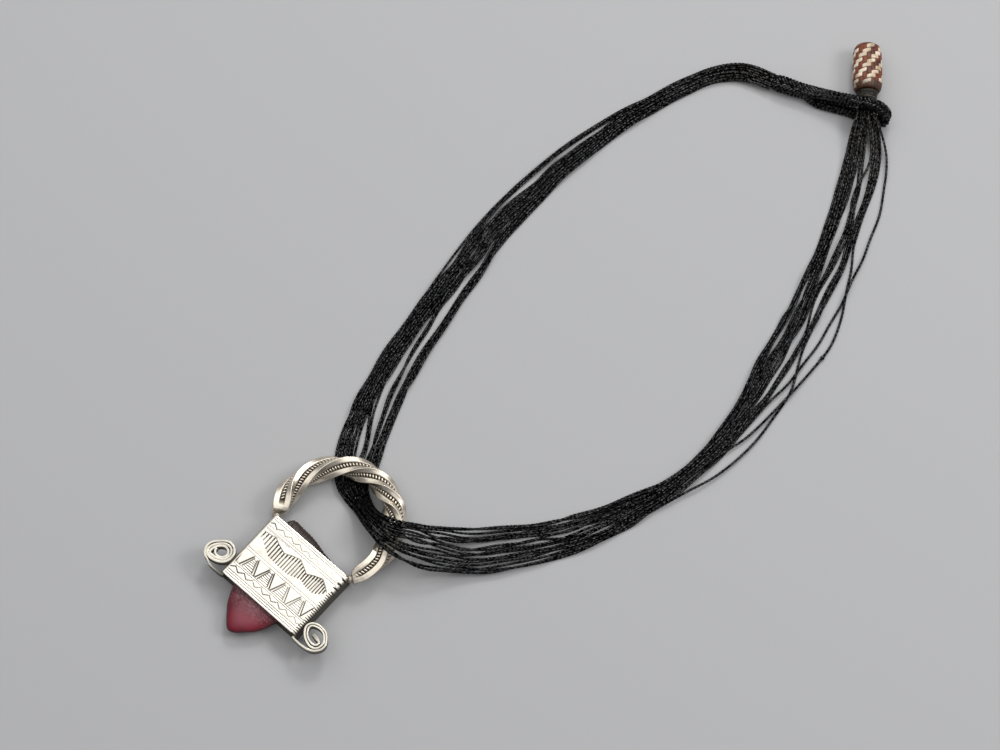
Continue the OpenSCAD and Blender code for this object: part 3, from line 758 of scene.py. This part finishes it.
# One bead, squared off a little, is modelled once and set along the middle of each face
bpy.ops.object.select_all(action="DESELECT")
bpy.ops.mesh.primitive_ico_sphere_add(subdivisions=2, radius=1)
seed = bpy.context.object
bead = np.array([v.co[:] for v in seed.data.vertices])
bead = np.sign(bead) * abs(bead) ** 0.7
bead_faces = np.array([p.vertices[:] for p in seed.data.polygons])
bpy.data.objects.remove(seed)
# Beads along a face, in mm: their spacing, half sizes along, across and out of the bar, how far
# they are sunk along each axis of its section, and how much they slant
bead_pitch, bead_long, bead_wide, bead_high, bead_sunk, bead_slant = 1.1, 0.36, 0.76, 0.5, 0.3, 0.55
# They run out before the bar's blunt ends, at these angles
bead_first, bead_last = -30.5, 203.5
verts, faces = [], []
travel = (bail_r - bail_bar / 2) * math.radians(bail_start - bail_end)
for k in range(4):
    for n in range(int(travel / bead_pitch)):
        angle = bail_start - (n + 0.5) * bead_pitch / travel * (bail_start - bail_end)
        if not bead_first < angle < bead_last:
            continue
        foot = bail_bar / 4 * np.interp(angle, *bail_rows[:, [0, 1]].T) - bead_sunk
        deep, wide = bead[:, 0] * bead_high, bead[:, 1] * bead_wide
        along = angle + (bead[:, 2] * bead_long - bead_slant * wide) / travel * (bail_start - bail_end)
        p, q = on_face(k, foot + (deep - wide) / math.sqrt(2), foot + (deep + wide) / math.sqrt(2))
        faces.append(bead_faces[:, ::-1] + len(verts) * len(bead))
        verts.append(on_bail(along, p, q))
mesh = bpy.data.meshes.new("bail_beads")
mesh.from_pydata((np.concatenate(verts) * MM).tolist(), [], np.concatenate(faces).tolist())
mesh.polygons.foreach_set("use_smooth", [True] * len(mesh.polygons))
beads = bpy.data.objects.new("bail_beads", mesh)
bpy.context.collection.objects.link(beads)
part_of("silver_mount", "silver", beads, bail_silver)

# A seat of solder under each end of the bail, and one between the right scroll's tail and the sleeve.
# Each seat: [name, start, end, radius], in mm, and how dark it is painted
for name, start, end, radius, seat_dark in (
    ("left", (-19.2, 0.7, 5.9), (-19.2, 3.1, 5.9), 1.5, 0.45),
    ("right", (17.8, 0.7, 5.9), (17.8, 3.1, 5.9), 1.5, 0.45),
    ("scroll", (17.4, -27.1, 7.4), (17.9, -28.8, 7.7), 0.7, 0.9),
):
    rise = np.linspace(0, 1, 9)
    line = np.array(start) + rise[:, None] * (np.array(end) - start)
    girth = radius * np.sqrt(np.clip(1 - (rise * 2 - 1) ** 6, 0.3, 1))
    seat = sweep(f"solder_seat_{name}", line, (0, 0, 1), round_section(20) * girth[:, None, None])
    hollows(seat, np.full(len(seat.data.vertices), seat_dark))
    part_of("silver_mount", "silver", seat, bail_silver)


# The stone is a flat shield of dyed agate, ground matt, set loose in the sleeve; its upper edge is
# left rough and dark.
stone_red, tree, shader = material("agate, dyed wine red, ground matt", "#5a0c1b", 0.4)
place = add(tree, "TexCoord", out="Object")
# The dye lies in clouds 14 mm across, and the ground face is stippled at 1.5 mm and 0.8 mm, coarser
# than its real grit, so that it shows
cloud = add(tree, "TexNoise", {"Vector": place, "Scale": 70.0, "Detail": 5.0})
speck = add(tree, "TexNoise", {"Vector": place, "Scale": 650.0, "Detail": 3.0})
grit = add(tree, "TexNoise", {"Vector": place, "Scale": 1300.0, "Detail": 2.0})
along = add(tree, "SeparateXYZ", {0: place}, out=1)
high = add(tree, "SeparateXYZ", {0: place}, out=2)
dyed = add(tree, "MapRange", {0: cloud, 1: 0.3, 2: 0.7}, **smooth)
colour = add(tree, "MixRGB", {0: dyed, 1: linear("#650820"), 2: linear("#851029")})
# Handling has left a dusty, scuffed bloom where the stone comes out of the sleeve
dusty = add(tree, "MapRange", {0: grit, 1: 0.45, 2: 0.6}, **smooth)
dust = add(tree, "MixRGB", {0: dusty, 1: linear("#1c0e10"), 2: linear("#7a5558")})
scuffed = add(tree, "MapRange", {0: along, 1: -37 * MM, 2: -26.5 * MM, 4: 0.7}, **smooth)
colour = add(tree, "MixRGB", {0: scuffed, 1: colour, 2: dust})
# A painted highlight makes the flat of its tip paler than the rounded rim, and painted shade darkens the
# stone low down
tip_at = (-1 * MM, -33.5 * MM, 7.5 * MM)
away = add(tree, "VectorMath", {0: place, 1: tip_at}, out="Value", operation="DISTANCE")
painted_tip_highlight = add(tree, "MapRange", {0: away, 1: 2 * MM, 2: 7.5 * MM, 3: 0.17, 4: 0.0}, **smooth)
colour = add(tree, "MixRGB", {0: painted_tip_highlight, 1: colour, 2: linear("#a87880")})
painted_low_shade = add(tree, "MapRange", {0: high, 1: 4.5 * MM, 2: 6.3 * MM, 3: 0.8, 4: 0.0}, **smooth)
colour = add(tree, "MixRGB", {0: painted_low_shade, 1: colour, 2: linear("#26040c")})
rough_edge = add(tree, "MapRange", {0: along, 1: 0.8 * MM, 2: 2.2 * MM}, **smooth)
colour = add(tree, "MixRGB", {0: rough_edge, 1: colour, 2: linear("#2e211c")})
matt = add(tree, "MapRange", {0: cloud, 1: 0.3, 2: 0.7, 3: 0.42, 4: 0.58}, **smooth)
ground = add(tree, "Bump", {"Height": speck, "Distance": 0.05 * MM, "Strength": 0.4})
wire(tree, shader, {"Base Color": colour, "Roughness": matt, "Normal": ground})
# Outline of the stone, [x, y] in mm, clockwise from the highest corner of its top edge
stone_outline = (
    (-12.6, 5.3), (-8.5, 5.1), (-4.4, 4.9), (-0.3, 4.2), (3.8, 3.2), (8, 2.6), (12, 2),
    (12.6, 0), (12.2, -8), (11, -18), (9.3, -25.5), (8.2, -29.1), (6.7, -32.8), (4.9, -35.7),
    (2.6, -38), (-0.3, -40.7), (-2.4, -41.6), (-4.1, -41.1), (-5.8, -39.5), (-8, -37),
    (-10.3, -34.1), (-12.4, -29.8), (-13.6, -26), (-14.4, -18), (-15, -8), (-15.1, 0),
    (-14.6, 3.6),
)
# Its middle, the height of that above the surface, and its thickness, in mm
stone_mid, stone_z, stone_t = np.array((-1.2, -13)), 4.5, 6
# Through its thickness: [height as a share of half the thickness, size]
stone_profile = (
    (-1, 0.02), (-1, 0.4), (-1, 0.74), (-0.95, 0.8), (-0.86, 0.86), (-0.5, 0.96), (-0.1, 1), (0.15, 1),
    (0.5, 0.96), (0.8, 0.87), (0.95, 0.74), (1, 0.6), (1.01, 0.3), (1.01, 0.02),
)
looped = [stone_outline[-1], *stone_outline, stone_outline[0], stone_outline[1]]
edge = spline(looped, 8)[8:-9]
levels = spline(stone_profile, 4)
rings = []
for height, size in levels[::-1]:
    flat = stone_mid + (edge - stone_mid) * size
    rings.append(np.column_stack([flat, np.full(len(flat), stone_z + height * stone_t / 2)]))
rings = np.array(rings)
# The rough top edge is chipped
x, y = rings[..., 0], rings[..., 1]
chips = np.clip((y - 1.5) / 1.2, 0, 1)
rings[..., 2] += chips * (0.18 * np.sin(3.1 * x) + 0.12 * np.sin(7.3 * x + 2 * y))
rings[..., 1] += chips * 0.12 * np.sin(4.7 * x + 1)
stone = skin("shield_stone", rings)
part_of("stone", "stone", stone, stone_red)


# The toggle is a stopper plaited over a core: strips of rust-brown leather run along it, and strips
# of undyed leather go round it, over two and under two, each row a strip further on.
# Middle of its far end, the way it points in degrees, its widest diameter and its length
toggle_at, toggle_turn, toggle_d, toggle_l = (22.8, 299.9), -51, 11.8, 20.2
# Along it: [share of its length, share of its widest diameter]
toggle_profile = (
    (0, 0.5), (0.012, 0.68), (0.045, 0.83), (0.1, 0.92), (0.2, 0.96), (0.55, 0.99), (0.75, 1),
    (0.88, 0.98), (0.95, 0.92), (0.985, 0.84), (1, 0.74),
)
toggle_ahead = np.array((math.cos(math.radians(toggle_turn)), math.sin(math.radians(toggle_turn)), 0))
toggle_side = np.array((-toggle_ahead[1], toggle_ahead[0], 0))


def by_toggle(run, angle, radius):
    """Points in mm at a run along the toggle's line, an angle round it and a distance from it."""
    foot = np.array((*toggle_at, toggle_d / 2))
    run, angle, radius = np.broadcast_arrays(run, angle, radius)
    ring = np.cos(angle)[..., None] * toggle_side + np.sin(angle)[..., None] * np.array((0, 0, 1))
    return foot + run[..., None] * toggle_ahead + radius[..., None] * ring


def toggle_r(run):
    """The toggle's radius at a run along it, in mm."""
    return np.interp(np.asarray(run) / toggle_l, *np.array(toggle_profile).T) * toggle_d / 2


# The toggle is cleanest round this place, and dirtier towards both ends
cleanest = (28.6 * MM, 292.7 * MM, 5.9 * MM)


def leather(name, light, dark):
    """Thin goat leather in strips: a fine grain, darker along worn folds and dirty on both ends."""
    made, tree, shader = material(name, light, 0.5)
    place = add(tree, "TexCoord", out="Object")
    # The grain is 1.1 mm across, coarser than the real one, so that it shows; wear comes in 4 mm patches
    grain = add(tree, "TexNoise", {"Vector": place, "Scale": 900.0, "Detail": 4.0})
    wear = add(tree, "TexNoise", {"Vector": place, "Scale": 240.0, "Detail": 3.0})
    worn = add(tree, "MapRange", {0: wear, 1: 0.45, 2: 0.68}, **smooth)
    colour = add(tree, "MixRGB", {0: worn, 1: linear(light), 2: linear(dark)})
    away = add(tree, "VectorMath", {0: place, 1: cleanest}, out="Value", operation="DISTANCE")
    dirty = add(tree, "MapRange", {0: away, 1: 8.2 * MM, 2: 11.6 * MM, 4: 0.7}, **smooth)
    colour = add(tree, "MixRGB", {0: dirty, 1: colour, 2: linear("#2b261a")})
    pores = add(tree, "Bump", {"Height": grain, "Distance": 0.06 * MM, "Strength": 0.5})
    wire(tree, shader, {"Base Color": colour, "Normal": pores})
    return made


brown_leather = leather("goat leather, dyed rust brown", "#773a1e", "#431d10")
cream_leather = leather("goat leather, undyed", "#e6d9c4", "#b59a78")
# Strips along it and rows round it, and the strips' thickness in mm
warps, wefts, strap_t = 20, 10, 0.5
# How far the strips' middles lie within its outside, how far they rise and dip from there, how far
# the core lies within, and how far the rows lean either way, in mm
plait_in, plait_swing, core_in, row_lean = 0.5, 0.25, 1.02, 1.3
turn = circle(12)
flat_oval = np.stack([np.sign(np.cos(turn)) * abs(np.cos(turn)) ** 0.7, np.sin(turn)], axis=-1)
weft_at = 1.6 + (np.arange(wefts) + 0.5) * (toggle_l - 3.4) / wefts


def over(warp, weft):
    """1 where the weft lies over the warp, -1 where it is under it."""
    return np.where((np.round(warp) - np.round(weft)) % 4 < 2, 1.0, -1.0)


def swing(at, here, there):
    """The height between two crossings, as a share: straight from the one to the other."""
    part = at - np.floor(at)
    return here * (1 - part) + there * part


brown, cream = [], []
for i in range(warps):
    run = np.linspace(0.15, toggle_l - 0.1, 64)
    angle = 2 * math.pi * i / warps
    # It rises and dips where the leaning rows cross it
    at = (run + row_lean * math.cos(angle) - weft_at[0]) / (weft_at[1] - weft_at[0])
    low = swing(at, over(i, np.floor(at)), over(i, np.floor(at) + 1))
    low = np.where((at < -0.3) | (at > wefts - 0.7), -0.6, low)
    line = by_toggle(run, angle, toggle_r(run) - plait_in - plait_swing * low)
    out = by_toggle(run, angle + math.pi / 2, 1) - by_toggle(run, 0, 0)
    wide = 2 * math.pi * toggle_r(run) / warps * 0.52
    section = flat_oval * np.stack([wide, np.full(len(run), strap_t / 2)], axis=-1)[:, None]
    brown.append(sweep(f"warp_{i}", line, out, section))
for j in range(wefts):
    at = np.linspace(0, warps, warps * 6 + 1)[:-1]
    high = swing(at, over(np.floor(at), j), over(np.floor(at) + 1, j))
    angle = 2 * math.pi * at / warps
    # The rows lean, and no row is laid quite like the next
    run = weft_at[j] + 0.2 * np.sin(3 * angle + 2.3 * j) - row_lean * np.cos(angle)
    line = by_toggle(run, angle, toggle_r(run) - plait_in + plait_swing * high)
    ahead = unit(np.roll(line, -1, axis=0) - np.roll(line, 1, axis=0))
    up = np.cross(ahead, toggle_ahead)
    wide = (weft_at[1] - weft_at[0]) * 0.5
    ring = line[:, None] + flat_oval[None, :, 0, None] * wide * toggle_ahead
    ring = ring + flat_oval[None, :, 1, None] * strap_t / 2 * up[:, None]
    cream.append(skin(f"weft_{j}", ring, closed=True))
run = np.linspace(0.02, toggle_l - 0.02, 40)
core_r = np.maximum(toggle_r(run) - core_in, 0.3)
core = skin("toggle_core", by_toggle(run[:, None], circle(40), core_r[:, None]))
for name, pieces, hide in (
    ("plait_brown", brown + [core], brown_leather),
    ("plait_cream", cream, cream_leather),
):
    part_of("toggle", "plaited_leather", joined(name, pieces), hide)


# The cord ends under the toggle are bound with waxed linen thread, in close turns from the toggle
# down, pulled tight over the cords' ends so that the neck narrows away from the toggle.
bound_thread, tree, shader = material("linen thread, waxed dark olive", "#2a2822", 0.55)
place = add(tree, "TexCoord", out="Object")
# Lint and dust show on the dark wax as paler specks 0.8 mm across
lint = add(tree, "TexNoise", {"Vector": place, "Scale": 1300.0, "Detail": 3.0})
specks = add(tree, "MapRange", {0: lint, 1: 0.45, 2: 0.7}, **smooth)
colour = add(tree, "MixRGB", {0: specks, 1: linear("#1f1d19"), 2: linear("#5a5240")})
wire(tree, shader, {"Base Color": colour})
# The thread's diameter, the binding's length, and the neck's radius along it, in mm
thread_d, binding_l = 0.55, 4.6
neck_along, neck_r = (0, 0.3, 1), np.array((4.2, 3.7, 3.3))
turns = binding_l / (thread_d * 1.03)
at = np.linspace(0, turns - 0.6, int(turns * 64))
run = toggle_l + 0.15 + thread_d / 2 + at / turns * binding_l
girth = np.interp(at / turns, neck_along, neck_r) + 0.1 * np.sin(2.7 * at)
slant = 0.2 * np.sin(2 * math.pi * at + 0.4 * at)
line = by_toggle(run + slant, 2 * math.pi * at, girth - thread_d / 2)
binding = sweep("neck_thread", line, toggle_ahead, round_section(8) * thread_d / 2)
# The bound cord ends inside it
run = np.linspace(toggle_l + 0.2, toggle_l + binding_l, 8)
girth = np.interp((run - toggle_l) / binding_l, neck_along, neck_r - 0.4)
filling = skin("neck_filling", by_toggle(run[:, None], circle(32), girth[:, None]))
for piece in (binding, filling):
    part_of("neck_binding", "thread", piece, bound_thread)


# The necklace lies on plain pale grey paper, matt and without a pattern. A large soft light hangs
# over it. A smaller one stands beyond the top of the picture, and another beyond its right side.
bpy.ops.mesh.primitive_plane_add(size=4, location=(0, 0.1, 0))
floor = bpy.context.object
floor.name = "paper_floor"
paper, tree, shader = material("matt paper, pale grey", "#b0b0b1", 0.9)
floor.data.materials.append(paper)

world = bpy.data.worlds.new("studio")
bpy.context.scene.world = world
world.use_nodes = True
world.node_tree.nodes["Background"].inputs["Color"].default_value = linear("#f1f2f5")
world.node_tree.nodes["Background"].inputs["Strength"].default_value = 0.26
# Each light: [name, place, size, power in watts], in metres
for name, at, size, power in (
    ("ceiling", (-0.3, 0.28, 1.15), 2.2, 15.5),
    ("window", (-0.42, 1.0, 1.1), 0.35, 5.2),
    ("lamp", (0.75, 0.75, 1.0), 0.45, 5.5),
):
    bpy.ops.object.light_add(type="AREA", location=at)
    light = bpy.context.object
    light.name = f"{name}_light"
    light.data.size = size
    light.data.energy = power
    light.rotation_euler = (aim_at - Vector(at)).to_track_quat("-Z", "Y").to_euler()
bpy.context.scene.view_settings.view_transform = "Standard"
